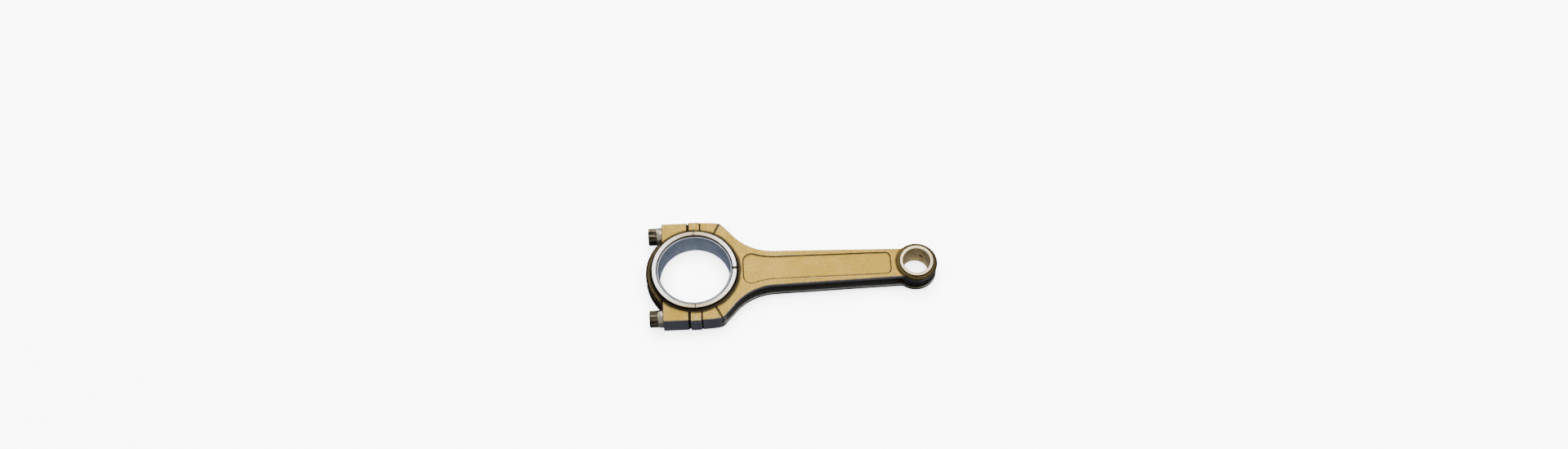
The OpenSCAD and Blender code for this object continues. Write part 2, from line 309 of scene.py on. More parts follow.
def forge(name, field, grooveShadeOf, low, high, step, triangles):
    f = forging
    points, quads = netOver(field, low, high, step)
    points = settle(field, points, step / 2, 3)
    piece = place(name, meshFrom(name, points * mm, quads))
    if 2 * len(quads) > triangles:
        thin = piece.modifiers.new("thin", "DECIMATE")
        thin.ratio = triangles / (2 * len(quads))
        piece = applyAll(piece)
    mesh = piece.data
    flat = np.empty(len(mesh.vertices) * 3, np.float32)
    mesh.vertices.foreach_get("co", flat)
    points = settle(field, flat.reshape(-1, 3).astype(float) / mm, f["settleLimit"], 1)
    mesh.vertices.foreach_set("co", (points * mm).astype(np.float32).ravel())
    normals = gradient(field, points, f["normalReach"])
    normals /= np.maximum(np.sqrt((normals * normals).sum(1)), 1e-6)[:, None]
    # how sharply the surface bends, from the distance a little off each point: + on edges, - in hollows
    reach = f["bendReach"]
    bend = -6 * field(*points.T)
    for axis in range(3):
        step3 = np.zeros(3)
        step3[axis] = reach
        bend = bend + field(*(points + step3).T) + field(*(points - step3).T)
    bend /= reach * reach
    # how much metal stands close around each point, from the distance further out along its normal; the
    # material paints shade from it
    room = [1 - np.clip(field(*(points + normals * out).T) / out, 0, 1) for out in f["shelterReach"]]
    sheltered = sum(room) / len(room)
    nook = 1 - np.clip(field(*(points + normals * f["nookReach"]).T) / f["nookReach"], 0, 1)
    grooveShade = grooveShadeOf(*points.T)
    # hollow: painted shade in creases and nooks, and along the grooves
    hollow = np.maximum(grooveShade, np.clip(1.3 * nook - 1.6 * bend - 0.15, 0, 1))
    # edge: rubbed-bright edges, partly a painted highlight
    edge = np.clip(bend - f["bendFloor"], 0, 1) * (1 - grooveShade)
    marks = {"edge": edge, "hollow": hollow, "sheltered": sheltered}
    for label, amount in marks.items():
        layer = mesh.attributes.new(label, "FLOAT", "POINT")
        layer.data.foreach_set("value", amount.astype(np.float32))
    mesh.shade_smooth()
    mesh.normals_split_custom_set_from_vertices(normals)
    mesh.update()
    print(name, "has", len(mesh.polygons), "faces")
    return piece


# Sizes in millimetres, from the frame where it has them
def boxMm(node):
    low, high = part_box(node)
    return low / mm, high / mm


bushLow, bushHigh = boxMm("small_end_bush")
bodyLow, bodyHigh = boxMm("rod_body")
capLow, capHigh = boxMm("rod_cap")
boltLow, boltHigh = boxMm("cap_bolt_left")
dowelLow, dowelHigh = boxMm("ring_dowel_left")
shellHigh = boxMm("bearing_shell_rod")[1]
mountRadius = {m["name"]: m["dims"].get("r_mm") for m in frame["record"]["mounts"]}
pinX = (bushLow.x + bushHigh.x) / 2

rod = {
    "faceZ": 8.25, "edge": 0.85,
    "beamHalf": 13.9, "beamTaper": 1.6, "runoutX": 57.0,
    "slope": 48.9, "corner": (19.6, 37.9), "cornerRun": 7.5, "channelX": 18.5,
    "bossHalf": 39.1, "collarTop": bodyHigh.y, "collarX": 4.6,
    "webHalf": 2.1, "flange": 3.3, "archRadius": 4.0, "webFillet": 1.5, "webFlare": 9.0,
    "housingR": shellHigh.x, "ringR": 30.6, "ringZ": bodyHigh.z, "ringFoot": 2.1, "boreChamfer": 0.8,
    "wallR": 33.2,
    "panelX": (35.0, pinX - 18.5), "panelHalf": (8.95, 8.6), "panelDepth": 0.5,
    "panelCorner": 6.0, "panelEndR": 4.0,
    "eyeR": bodyHigh.x - pinX, "eyeFaceZ": bushHigh.z - 1.25, "eyeRound": 2.2,
    "landR": bushHigh.x - pinX + 1, "landZ": bushHigh.z, "landFoot": 0.5,
    "bushR": bushHigh.x - pinX, "waistZ": 4.6, "waistDepth": 1.3,
    "oilHoleR": 1.5, "oilHoleAngle": 62.0,
    "boltY": (boltLow.y + boltHigh.y) / 2, "boltHoleR": 4.58, "dowelHoleR": (dowelHigh.z - dowelLow.z) / 2,
    "dowelHoleX": 4.0,
    "groove": 0.5, "rimMark": (63.4, 0.7, 0.5), "oilNotch": (0.9, 0.5),
    "tang": (5.1, 28.0, 5.5, 9.3),
    "step": 0.37, "triangles": 190000,
}
tilt = math.radians(rod["beamTaper"])
slope = math.radians(rod["slope"])


def beamHalf(x):
    return rod["beamHalf"] - (x - rod["runoutX"]) * math.tan(tilt)


# The shoulder's arc touches the slope from the boss corner and the beam's tapered edge
def shoulderArc():
    cx, cy = rod["corner"]
    meetX = (cy + cx * math.tan(slope) - rod["beamHalf"] - rod["runoutX"] * math.tan(tilt)) \
        / (math.tan(slope) - math.tan(tilt))
    tangent = (rod["runoutX"] - meetX) / math.cos(tilt)
    radius = tangent / math.tan((slope - tilt) / 2)
    centre = (rod["runoutX"] + radius * math.sin(tilt), rod["beamHalf"] + radius * math.cos(tilt))
    start = (meetX - tangent * math.cos(slope), beamHalf(meetX) + tangent * math.sin(slope))
    return centre, radius, start


arcCentre, arcRadius, arcStart = shoulderArc()


def rodOutline(x, y):
    cx, cy = rod["corner"]
    slopeSide = (x - cx) * math.sin(slope) + (y - cy) * math.cos(slope)
    beamSide = (y - beamHalf(x)) * math.cos(tilt)
    pastStart = (x - arcStart[0]) * math.cos(slope) - (y - arcStart[1]) * math.sin(slope) > 0
    beforeEnd = (x - rod["runoutX"]) * math.cos(tilt) - (y - rod["beamHalf"]) * math.sin(tilt) < 0
    arc = arcRadius - np.hypot(x - arcCentre[0], y - arcCentre[1])
    fall = rod["bossHalf"] - cy
    lean = math.atan2(fall, rod["cornerRun"])
    slant = (x - cx + rod["cornerRun"]) * math.sin(lean) + (y - rod["bossHalf"]) * math.cos(lean)
    boss = meet(slopeSide, slant, 1.3)
    body = np.where(pastStart & beforeEnd, arc, np.minimum(boss, beamSide))
    body = np.maximum(body, x - pinX)
    flat = np.minimum(y - rod["bossHalf"], np.maximum(y - rod["collarTop"], x - rod["collarX"]))
    return meet(flat, body, 1.0)


def panelOutline(x, y):
    x0, x1 = rod["panelX"]
    half0, half1 = rod["panelHalf"]
    fall = (half0 - half1) / (x1 - rod["runoutX"])
    flareR = arcCentre[1] - half0
    side = np.where(x < arcCentre[0], flareR - np.hypot(x - arcCentre[0], y - arcCentre[1]),
                    y - half0 + (x - rod["runoutX"]) * fall)
    # the rounded corner touches the end line and the flare
    r = rod["panelCorner"]
    cx = x0 + r
    cy = arcCentre[1] - math.sqrt((flareR + r) ** 2 - (arcCentre[0] - cx) ** 2)
    toFlare = (arcCentre[0] - cx, arcCentre[1] - cy)
    inCorner = (toFlare[0] * (y - cy) > toFlare[1] * (x - cx)) & (y > cy)
    left = np.where(inCorner, np.hypot(x - cx, y - cy) - r, np.maximum(side, x0 - x))
    return meet(left, x - x1, rod["panelEndR"])


def vGroove(x, y, z, atX, depth, s):
    onFace = np.abs(x - atX) + np.abs(z - s["faceZ"]) - depth
    onFlat = np.abs(x - atX) + np.abs(y - s["bossHalf"]) - depth - 0.1
    outside = s["ringR"] + s["ringFoot"] - np.hypot(x, y)
    return np.maximum(np.minimum(onFace, onFlat) * math.sqrt(0.5), outside)


def tangNotch(x, y, z, sign):
    length, reach, z0, z1 = rod["tang"]
    inPlan = np.maximum(np.maximum(x * sign - length, -y - reach), y + 20)
    return np.maximum(inPlan, np.maximum(z0 - z, z - z1))


def rodField(x, yy, zz):
    s = rod
    y, z = np.abs(yy), np.abs(zz)
    r = np.hypot(x, y)
    fromPin = np.hypot(x - pinX, y)
    plate = meet(rodOutline(x, y), z - s["faceZ"], s["edge"])
    panel = meet(panelOutline(x, y), s["faceZ"] - s["panelDepth"] - z, 0.3)
    plate = cut(plate, panel, 0.35)
    eye = meet(fromPin - s["eyeR"], z - s["eyeFaceZ"], s["eyeRound"])
    waist = meet(z - s["waistZ"], s["eyeR"] - s["waistDepth"] - fromPin, 0.9)
    eye = cut(eye, waist, 0.6)
    land = meet(fromPin - s["landR"], z - s["landZ"], 0.25)
    eye = join(eye, land, s["landFoot"])
    body = join(plate, eye, 1.0)
    # channel between the face plates, with its arch at the boss and its round end at the eye
    arch = meet(z - s["faceZ"] + s["flange"], s["channelX"] - x, s["archRadius"])
    side = meet(s["webHalf"] - y, s["wallR"] - r, s["webFlare"])
    side = meet(side, s["eyeR"] - s["waistDepth"] - fromPin, 4.0)
    channel = np.maximum(meet(arch, side, s["webFillet"]), x - pinX)
    body = cut(body, channel, 0.45)
    ring = meet(r - s["ringR"], z - s["ringZ"], 0.3)
    body = join(body, ring, s["ringFoot"])
    # small cuts
    body = cut(body, vGroove(x, y, z, s["collarX"], s["groove"], s), 0.12)
    angle, halfWidth, depth = s["rimMark"]
    a = math.radians(angle)
    along, across = x * math.cos(a) + y * math.sin(a), np.abs(y * math.cos(a) - x * math.sin(a))
    mark = meet(across - halfWidth, s["faceZ"] - depth - z, 0.25)
    body = cut(body, np.maximum(mark, s["ringR"] + s["ringFoot"] - along), 0.25)
    halfWidth, depth = s["oilNotch"]
    notch = np.maximum(np.maximum(y - halfWidth, s["ringZ"] - depth - z), r - s["ringR"] - 1.5)
    body = cut(body, np.maximum(notch, -x), 0.15)
    a = math.radians(s["oilHoleAngle"])
    out = (x - pinX) * math.cos(a) + y * math.sin(a)
    hole = np.hypot(y * math.cos(a) - (x - pinX) * math.sin(a), z) - s["oilHoleR"]
    body = cut(body, np.maximum(hole, -out), 0.35)
    body = chamfered(body, s["housingR"] - r, s["boreChamfer"])
    body = np.maximum(body, s["bushR"] - fromPin)
    bolt = np.hypot(y - s["boltY"], z)
    body = cut(body, np.maximum(bolt - s["boltHoleR"], x - 30), 0.12)
    body = cut(body, np.maximum(bolt - s["dowelHoleR"], x - s["dowelHoleX"]), 0.1)
    body = cut(body, tangNotch(x, yy, zz, 1), 0.1)
    return meet(body, -x, 0.12)


# Painted shade along the panel's outline and in the small grooves
def rodGrooveShade(x, yy, zz):
    y, z = np.abs(yy), np.abs(zz)
    s = rod
    outline = 1.6 - np.abs(panelOutline(x, y) + 0.1) / 0.4 - np.maximum(s["faceZ"] - 0.7 - z, 0) * 9
    grooves = -vGroove(x, y, z, s["collarX"], s["groove"] + 0.35, s) / 0.25
    a = math.radians(s["rimMark"][0])
    along, across = x * math.cos(a) + y * math.sin(a), np.abs(y * math.cos(a) - x * math.sin(a))
    mark = (s["rimMark"][1] + 0.3 - across) / 0.25
    mark = np.minimum(mark, (along - s["ringR"]) / 0.5) - np.maximum(s["faceZ"] - 0.7 - z, 0) * 9
    return np.clip(np.maximum(np.maximum(outline, grooves), mark), 0, 1)


cap = {
    "faceZ": rod["faceZ"], "bossHalf": rod["bossHalf"], "ringR": rod["ringR"], "ringFoot": 1.9,
    "seatX": -23.3, "bossEdge": 0.7, "bossFillet": 1.3,
    "ribR": 35.15, "ribZ": 6.9, "ribEdge": 1.7,
    "channelZ": 3.9, "channelR": 32.3, "channelFillet": 1.2,
    "collarX": -4.3, "groove": 0.9, "spotFaceR": 6.9, "dowelPlay": 0.05,
    "step": 0.33, "triangles": 150000,
}


def capField(x, yy, zz):
    s = cap
    y, z = np.abs(yy), np.abs(zz)
    r = np.hypot(x, y)
    ring = meet(r - rod["ringR"], z - rod["ringZ"], 0.3)
    ribs = meet(r - s["ribR"], z - s["ribZ"], s["ribEdge"])
    valley = meet(z - s["channelZ"], s["channelR"] - r, s["channelFillet"])
    ribs = cut(ribs, valley, 0.7)
    flat = np.minimum(y - s["bossHalf"], np.maximum(y - rod["collarTop"], s["collarX"] - x))
    boss = meet(flat, z - s["faceZ"], s["bossEdge"])
    boss = meet(boss, s["seatX"] - x, s["bossEdge"])
    boss = np.maximum(boss, 22 - y)
    body = join(join(ribs, boss, s["bossFillet"]), ring, s["ringFoot"])
    bolt = np.hypot(y - rod["boltY"], z)
    body = cut(body, np.maximum(bolt - s["spotFaceR"], x - s["seatX"]), 0.1)
    body = cut(body, vGroove(x, y, z, s["collarX"], s["groove"], s), 0.15)
    body = chamfered(body, rod["housingR"] - r, rod["boreChamfer"])
    body = cut(body, bolt - rod["boltHoleR"], 0.12)
    body = cut(body, np.maximum(bolt - rod["dowelHoleR"] - s["dowelPlay"], -x - rod["dowelHoleX"]), 0.1)
    body = cut(body, tangNotch(x, yy, zz, -1), 0.1)
    return meet(body, x, 0.12)


# Painted shade in the cap's collar groove
def capGrooveShade(x, yy, zz):
    groove = vGroove(x, np.abs(yy), np.abs(zz), cap["collarX"], cap["groove"] + 0.35, cap)
    return np.clip(-groove / 0.25, 0, 1)


rodPiece = forge("rodForging", rodField, rodGrooveShade, bodyLow, bodyHigh, rod["step"], rod["triangles"])
capPiece = forge("capForging", capField, capGrooveShade, capLow, capHigh, cap["step"], cap["triangles"])
print("rod and cap are forged")


# Node trees for looks and for forms are wired the same way
def newTree(name, kind, inputs, outputs):
    tree = bpy.data.node_groups.new(name, kind)
    for label, socketKind, value in inputs:
        socket = tree.interface.new_socket(label, in_out="INPUT", socket_type=socketKind)
        if value is not None:
            socket.default_value = value
    for label, socketKind in outputs:
        tree.interface.new_socket(label, in_out="OUTPUT", socket_type=socketKind)
    return tree, tree.nodes.new("NodeGroupInput"), tree.nodes.new("NodeGroupOutput")


def feed(tree, socket, value):
    if isinstance(value, bpy.types.NodeSocket):
        tree.links.new(value, socket)
    elif value is not None:
        socket.default_value = value


def maths(tree, operation, a, b=None, c=None):
    node = tree.nodes.new("ShaderNodeMath")
    node.operation = operation
    for socket, value in zip(node.inputs, (a, b, c)):
        feed(tree, socket, value)
    return node.outputs[0]


def blendValue(tree, factor, a, b):
    node = tree.nodes.new("ShaderNodeMix")
    node.data_type = "FLOAT"
    for socket, value in zip((node.inputs[0], node.inputs[2], node.inputs[3]), (factor, a, b)):
        feed(tree, socket, value)
    return node.outputs[0]


def blendColor(tree, factor, a, b):
    node = tree.nodes.new("ShaderNodeMix")
    node.data_type = "RGBA"
    for socket, value in zip((node.inputs[0], node.inputs[6], node.inputs[7]), (factor, a, b)):
        feed(tree, socket, (*value, 1) if isinstance(value, tuple) else value)
    return node.outputs[2]


def remap(tree, value, low, high, toLow=0.0, toHigh=1.0, smooth=True):
    node = tree.nodes.new("ShaderNodeMapRange")
    node.interpolation_type = "SMOOTHSTEP" if smooth else "LINEAR"
    for socket, setting in zip(node.inputs, (value, low, high, toLow, toHigh)):
        feed(tree, socket, setting)
    return node.outputs[0]


def noise(tree, vector, size, detail=3.0, roughness=0.55):
    node = tree.nodes.new("ShaderNodeTexNoise")
    feed(tree, node.inputs["Vector"], vector)
    feed(tree, node.inputs["Scale"], maths(tree, "DIVIDE", 1.0, size))
    node.inputs["Detail"].default_value = detail
    node.inputs["Roughness"].default_value = roughness
    return node.outputs["Fac"]


def axes(tree, vector):
    node = tree.nodes.new("ShaderNodeSeparateXYZ")
    feed(tree, node.inputs[0], vector)
    return node.outputs["X"], node.outputs["Y"], node.outputs["Z"]


def useGroup(tree, group, **values):
    node = tree.nodes.new("ShaderNodeGroup")
    node.node_tree = group
    for label, value in values.items():
        feed(tree, node.inputs[label], value)
    return node.outputs


# Shot-peened skin: overlapping shallow dimples, with slow drifts of tone and shine over them
def peenedSkin():
    group, given, out = newTree("peenedSkin", "ShaderNodeTree", [
        ("Vector", "NodeSocketVector", None), ("Dimple", "NodeSocketFloat", 0.0006),
        ("Drift", "NodeSocketFloat", 0.018)],
        [("Height", "NodeSocketFloat"), ("Speck", "NodeSocketFloat"), ("Drift", "NodeSocketFloat")])
    vector, size = given.outputs["Vector"], given.outputs["Dimple"]
    cells = group.nodes.new("ShaderNodeTexVoronoi")
    cells.feature = "SMOOTH_F1"
    cells.inputs["Smoothness"].default_value = 0.4
    feed(group, cells.inputs["Vector"], vector)
    feed(group, cells.inputs["Scale"], maths(group, "DIVIDE", 1.0, size))
    fine = noise(group, vector, maths(group, "MULTIPLY", size, 0.7), 2.0)
    grain = maths(group, "MULTIPLY", fine, 0.5)
    height = maths(group, "MULTIPLY_ADD", cells.outputs["Distance"], 0.65, grain)
    speck = noise(group, vector, maths(group, "MULTIPLY", size, 2.2), 4.0, 0.7)
    drift = noise(group, vector, given.outputs["Drift"], 3.0, 0.5)
    feed(group, out.inputs["Height"], height)
    feed(group, out.inputs["Speck"], remap(group, speck, 0.3, 0.7))
    feed(group, out.inputs["Drift"], remap(group, drift, 0.32, 0.68))
    return group


# Rubbed-bright edges that also carry a painted highlight, and painted shade in hollows and sheltered places,
# both broken up so that neither is an even line
def edgeAndHollow():
    group, given, out = newTree("edgeAndHollow", "ShaderNodeTree", [
        ("Vector", "NodeSocketVector", None), ("Patch", "NodeSocketFloat", 0.004)],
        [("Edge", "NodeSocketFloat"), ("Hollow", "NodeSocketFloat"), ("Sheltered", "NodeSocketFloat")])
    patch = noise(group, given.outputs["Vector"], given.outputs["Patch"], 4.0, 0.65)
    for label, keep in (("edge", 0.25), ("hollow", 0.75), ("sheltered", 0.8)):
        layer = group.nodes.new("ShaderNodeAttribute")
        layer.attribute_name = label
        amount = maths(group, "MULTIPLY", layer.outputs["Fac"], remap(group, patch, 0.3, 0.62, keep, 1.0))
        feed(group, out.inputs[label.capitalize()], amount)
    return group


# A machined flat around an axis along Z: where it is, and the fine turned lines on it
def turnedFlat():
    group, given, out = newTree("turnedFlat", "ShaderNodeTree", [
        ("Vector", "NodeSocketVector", None), ("Centre X", "NodeSocketFloat", 0.0),
        ("Radius", "NodeSocketFloat", 0.03), ("Level", "NodeSocketFloat", 0.0105),
        ("Feed", "NodeSocketFloat", 0.0002)],
        [("Mask", "NodeSocketFloat"), ("Height", "NodeSocketFloat"), ("Sheen", "NodeSocketFloat"),
         ("Outside", "NodeSocketFloat")])
    fullX, y, z = axes(group, given.outputs["Vector"])
    x = maths(group, "SUBTRACT", fullX, given.outputs["Centre X"])
    squares = maths(group, "ADD", maths(group, "MULTIPLY", x, x), maths(group, "MULTIPLY", y, y))
    radius = maths(group, "SQRT", squares)
    inside = maths(group, "LESS_THAN", radius, given.outputs["Radius"])
    high = maths(group, "GREATER_THAN", maths(group, "ABSOLUTE", z), given.outputs["Level"])
    lines = group.nodes.new("ShaderNodeTexNoise")
    lines.noise_dimensions = "1D"
    feed(group, lines.inputs["W"], maths(group, "DIVIDE", radius, given.outputs["Feed"]))
    lines.inputs["Scale"].default_value = 1.0
    lines.inputs["Detail"].default_value = 2.0
    # the shine of turned lines gathers in two opposite fans
    turn = maths(group, "ARCTAN2", y, x)
    wave = maths(group, "COSINE", maths(group, "MULTIPLY", turn, 2.0))
    fans = maths(group, "MULTIPLY_ADD", wave, 0.5, 0.5)
    feed(group, out.inputs["Mask"], maths(group, "MULTIPLY", inside, high))
    feed(group, out.inputs["Outside"], maths(group, "SUBTRACT", radius, given.outputs["Radius"]))
    feed(group, out.inputs["Height"], lines.outputs["Fac"])
    feed(group, out.inputs["Sheen"], fans)
    return group


# Fine lines around a bore, and faint handling stains
def honedBore():
    group, given, out = newTree("honedBore", "ShaderNodeTree", [
        ("Vector", "NodeSocketVector", None), ("Spacing", "NodeSocketFloat", 0.0004)],
        [("Height", "NodeSocketFloat"), ("Stain", "NodeSocketFloat")])
    stretch = group.nodes.new("ShaderNodeVectorMath")
    stretch.operation = "MULTIPLY"
    feed(group, stretch.inputs[0], given.outputs["Vector"])
    stretch.inputs[1].default_value = (0.12, 0.12, 1.0)
    feed(group, out.inputs["Height"], noise(group, stretch.outputs[0], given.outputs["Spacing"], 3.0, 0.6))
    stain = noise(group, given.outputs["Vector"], 0.007, 4.0, 0.6)
    feed(group, out.inputs["Stain"], remap(group, stain, 0.35, 0.7))
    return group


def newMaterial(name):
    material = bpy.data.materials.new(name)
    material.use_nodes = True
    tree = material.node_tree
    coords = tree.nodes.new("ShaderNodeTexCoord")
    shader = tree.nodes["Principled BSDF"]
    shader.inputs["Metallic"].default_value = 1.0
    return material, tree, shader, coords.outputs["Object"]


def addBump(tree, shader, height, distance, strength=1.0):
    bump = tree.nodes.new("ShaderNodeBump")
    feed(tree, bump.inputs["Height"], height)
    bump.inputs["Distance"].default_value = distance
    feed(tree, bump.inputs["Strength"], strength)
    feed(tree, shader.inputs["Normal"], bump.outputs["Normal"])


forgedSteel = {
    "color": (0.425, 0.275, 0.044), "light": (0.50, 0.335, 0.067), "deep": (0.24, 0.138, 0.022),
    "worn": (0.80, 0.71, 0.53), "dark": (0.045, 0.035, 0.021),
    "flank": (0.40, 0.41, 0.41), "flankShare": 0.85,
    "flankLean": (0.6, 0.2), "flankBelow": (6.9, 5.6),
    "hollowShare": 0.92, "shelterShare": 0.7, "edgeShare": 0.62,
    "shine": (0.36, 0.47), "dimple": 0.0006, "dimpleDepth": 0.00006,
    "sootFrom": 3.4, "sootTo": 2.1, "sootShare": 0.96, "ribSoot": 0.96,
    "eyeSootFrom": 3.4, "eyeSootTo": 2.3, "eyeSootShare": 0.88,
    "ringColor": (0.30, 0.235, 0.145), "ringBright": (0.90, 0.89, 0.86), "ringShine": (0.20, 0.30),
    "lineDepth": 0.000012,
    "landColor": (0.84, 0.69, 0.40), "landShine": (0.26, 0.34),
}
boltSteel = {
    "color": (0.07, 0.06, 0.038), "light": (0.16, 0.14, 0.09), "flange": (0.70, 0.62, 0.46),
    "shine": (0.24, 0.38),
    "flangeReach": 3.3, "wornFade": 0.7,
    "grain": 0.0005, "grainDepth": 0.00003,
}
overlay = {
    "color": (0.19, 0.225, 0.28), "light": (0.24, 0.275, 0.335), "shine": (0.34, 0.46), "metal": 0.88,
    "faceColor": (0.22, 0.24, 0.28), "faceLevel": 9.2, "lineDepth": 0.00001,
}
bronze = {
    "color": (0.36, 0.265, 0.105), "light": (0.48, 0.37, 0.18), "shine": (0.28, 0.42), "metal": 0.8,
    "faceColor": (0.84, 0.69, 0.40), "faceLevel": 9.7, "lineDepth": 0.00001,
}
bareSteel = {
    "color": (0.62, 0.61, 0.58), "light": (0.74, 0.73, 0.70), "shine": (0.24, 0.34), "metal": 1.0,
    "faceColor": (0.74, 0.73, 0.70), "faceLevel": 9.0, "lineDepth": 0.00001,
}

skinGroup, wearAndShadeGroup, flatGroup, boreGroup = peenedSkin(), edgeAndHollow(), turnedFlat(), honedBore()


def forgedMaterial(s):
    material, tree, shader, place = newMaterial("forgedSteel")
    skin = useGroup(tree, skinGroup, Vector=place, Dimple=s["dimple"])
    wearAndShade = useGroup(tree, wearAndShadeGroup, Vector=place)
    ring = useGroup(tree, flatGroup, Vector=place, Radius=rod["ringR"] * mm + 0.0001,
                    Level=(rod["ringZ"] - 0.35) * mm)
    land = useGroup(tree, flatGroup, Vector=place, Radius=rod["landR"] * mm + 0.0001,
                    Level=(rod["landZ"] - 0.3) * mm)
    feed(tree, land["Mask"].node.inputs["Centre X"], pinX * mm)
    color = blendColor(tree, skin["Drift"], s["color"], s["light"])
    color = blendColor(tree, maths(tree, "MULTIPLY", skin["Speck"], 0.25), color, s["deep"])
    # the upright walls and all that lies between the face plates are painted greyer than the faces, a painted
    # tone for the dim reflection and shade they show
    facing = tree.nodes.new("ShaderNodeNewGeometry")
    lean = maths(tree, "ABSOLUTE", axes(tree, facing.outputs["Normal"])[2])
    upright = remap(tree, lean, *s["flankLean"])
    x, _, z = axes(tree, place)
    between = remap(tree, maths(tree, "ABSOLUTE", z), *(level * mm for level in s["flankBelow"]))
    flank = maths(tree, "MULTIPLY", maths(tree, "MAXIMUM", upright, between), s["flankShare"])
    color = blendColor(tree, flank, color, s["flank"])
    # painted shade where much metal stands close around
    shade = maths(tree, "MULTIPLY", wearAndShade["Sheltered"], s["shelterShare"])
    color = blendColor(tree, shade, color, s["dark"])
    # painted shade in creases, nooks and grooves
    color = blendColor(tree, maths(tree, "MULTIPLY", wearAndShade["Hollow"], s["hollowShare"]), color, s["dark"])
    # painted shade in the step around each thrust ring and around the eye's land, in uneven bands; the cap's
    # ribs are painted dark all over
    onRibs = remap(tree, x, cap["seatX"] * mm, (cap["seatX"] - 0.8) * mm)
    wander = maths(tree, "MULTIPLY", maths(tree, "SUBTRACT", skin["Drift"], 0.5), 0.0008)
    ringEdge = maths(tree, "SUBTRACT", ring["Outside"], wander)
    stepShade = remap(tree, ringEdge, s["sootFrom"] * mm, s["sootTo"] * mm)
    eyeEdge = maths(tree, "SUBTRACT", land["Outside"], wander)
    eyeShade = remap(tree, eyeEdge, s["eyeSootFrom"] * mm, s["eyeSootTo"] * mm)
    onRibs = maths(tree, "MULTIPLY", onRibs, remap(tree, skin["Drift"], 0.0, 1.0, s["ribSoot"], 1.0))
    paintedDark = maths(tree, "MULTIPLY", maths(tree, "MAXIMUM", stepShade, onRibs), s["sootShare"])
    paintedDark = maths(tree, "MAXIMUM", paintedDark, maths(tree, "MULTIPLY", eyeShade, s["eyeSootShare"]))
    # rubbed-bright edges, lightened further as a painted highlight
    color = blendColor(tree, maths(tree, "MULTIPLY", wearAndShade["Edge"], s["edgeShare"]), color, s["worn"])
    color = blendColor(tree, paintedDark, color, s["dark"])
    # painted sheen: the ring's colour goes bright in the two fans where its turned lines shine
    ringColor = blendColor(tree, ring["Sheen"], s["ringColor"], s["ringBright"])
    color = blendColor(tree, ring["Mask"], color, ringColor)
    color = blendColor(tree, land["Mask"], color, s["landColor"])
    shine = blendValue(tree, skin["Speck"], *s["shine"])
    shine = blendValue(tree, ring["Mask"], shine, blendValue(tree, ring["Sheen"], *s["ringShine"]))
    shine = blendValue(tree, land["Mask"], shine, blendValue(tree, land["Sheen"], *s["landShine"]))
    machined = maths(tree, "MAXIMUM", ring["Mask"], land["Mask"])
    lines = blendValue(tree, land["Mask"], ring["Height"], land["Height"])
    lines = maths(tree, "MULTIPLY", lines, s["lineDepth"] / s["dimpleDepth"])
    feed(tree, shader.inputs["Base Color"], color)
    feed(tree, shader.inputs["Roughness"], shine)
    addBump(tree, shader, blendValue(tree, machined, skin["Height"], lines), s["dimpleDepth"])
    return material


def boltMaterial(s):
    material, tree, shader, place = newMaterial("boltSteel")
    skin = useGroup(tree, skinGroup, Vector=place, Dimple=s["grain"], Drift=0.006)
    # the washer face and the cone over it are painted bright: bare metal where the finish is worn off,
    # lightened further as a painted highlight
    x = axes(tree, place)[0]
    level = maths(tree, "MULTIPLY_ADD", skin["Drift"], 0.0008, x)
    start = cap["seatX"] - s["flangeReach"]
    overHead = remap(tree, level, start * mm, (start + s["wornFade"]) * mm)
    underHead = remap(tree, x, (cap["seatX"] + s["wornFade"]) * mm, cap["seatX"] * mm)
    washer = maths(tree, "MULTIPLY", overHead, underHead)
    color = blendColor(tree, skin["Drift"], s["color"], s["light"])
    feed(tree, shader.inputs["Base Color"], blendColor(tree, washer, color, s["flange"]))
    feed(tree, shader.inputs["Roughness"], blendValue(tree, skin["Speck"], *s["shine"]))
    addBump(tree, shader, skin["Height"], s["grainDepth"], 0.6)
    return material


def boreMaterial(name, s):
    material, tree, shader, place = newMaterial(name)
    bore = useGroup(tree, boreGroup, Vector=place)
    height = maths(tree, "ABSOLUTE", axes(tree, place)[2])
    onFace = maths(tree, "GREATER_THAN", height, s["faceLevel"] * mm)
    color = blendColor(tree, bore["Stain"], s["color"], s["light"])
    feed(tree, shader.inputs["Base Color"], blendColor(tree, onFace, color, s["faceColor"]))
    shader.inputs["Metallic"].default_value = s["metal"]
    feed(tree, shader.inputs["Roughness"], blendValue(tree, bore["Stain"], *s["shine"]))
    addBump(tree, shader, bore["Height"], s["lineDepth"])
    return material


looks = {
    "rod_steel": forgedMaterial(forgedSteel),
    "bolt_steel": boltMaterial(boltSteel),
    "dowel_steel": boreMaterial("dowelSteel", bareSteel),
    "bearing_overlay": boreMaterial("bearingOverlay", overlay),
    "bush_bronze": boreMaterial("bushBronze", bronze),
}
print("materials are ready")


# A profile curve (along the bolt, radius) is swept around the axis. The sweep's radius is then cut to
# twelve points over the head and to a helical thread over the tip.
bolt = {
    "headEnd": boltLow.x, "tip": boltHigh.x, "seat": cap["seatX"],
    "acrossFlats": 11.0, "pointR": 6.33, "coneR": 6.0,
    "coneStart": cap["seatX"] - 4.7, "pointRunout": cap["seatX"] - 3.1,
    "flangeR": 6.58, "flangeHeight": 1.6,
    "shankR": 4.5, "waistR": 4.15, "fitBand": 4.2, "threadStart": 5.0, "threadRunIn": 2.0,
    "ridge": (0.12, 0.86),                            # share of each turn's flank, from root to crest
    "pitch": 1.0, "threadDepth": 0.56, "tipChamfer": 0.9, "dimpleR": 2.2, "dimpleDepth": 1.15,
    "rings": 760, "sides": 72,
    "turns": {"left": 5.0, "right": 20.0},  # where each head happened to stop, in degrees
}


def choose(tree, whenOver, limit, low, high):
    return blendValue(tree, maths(tree, "GREATER_THAN", whenOver, limit), low, high)


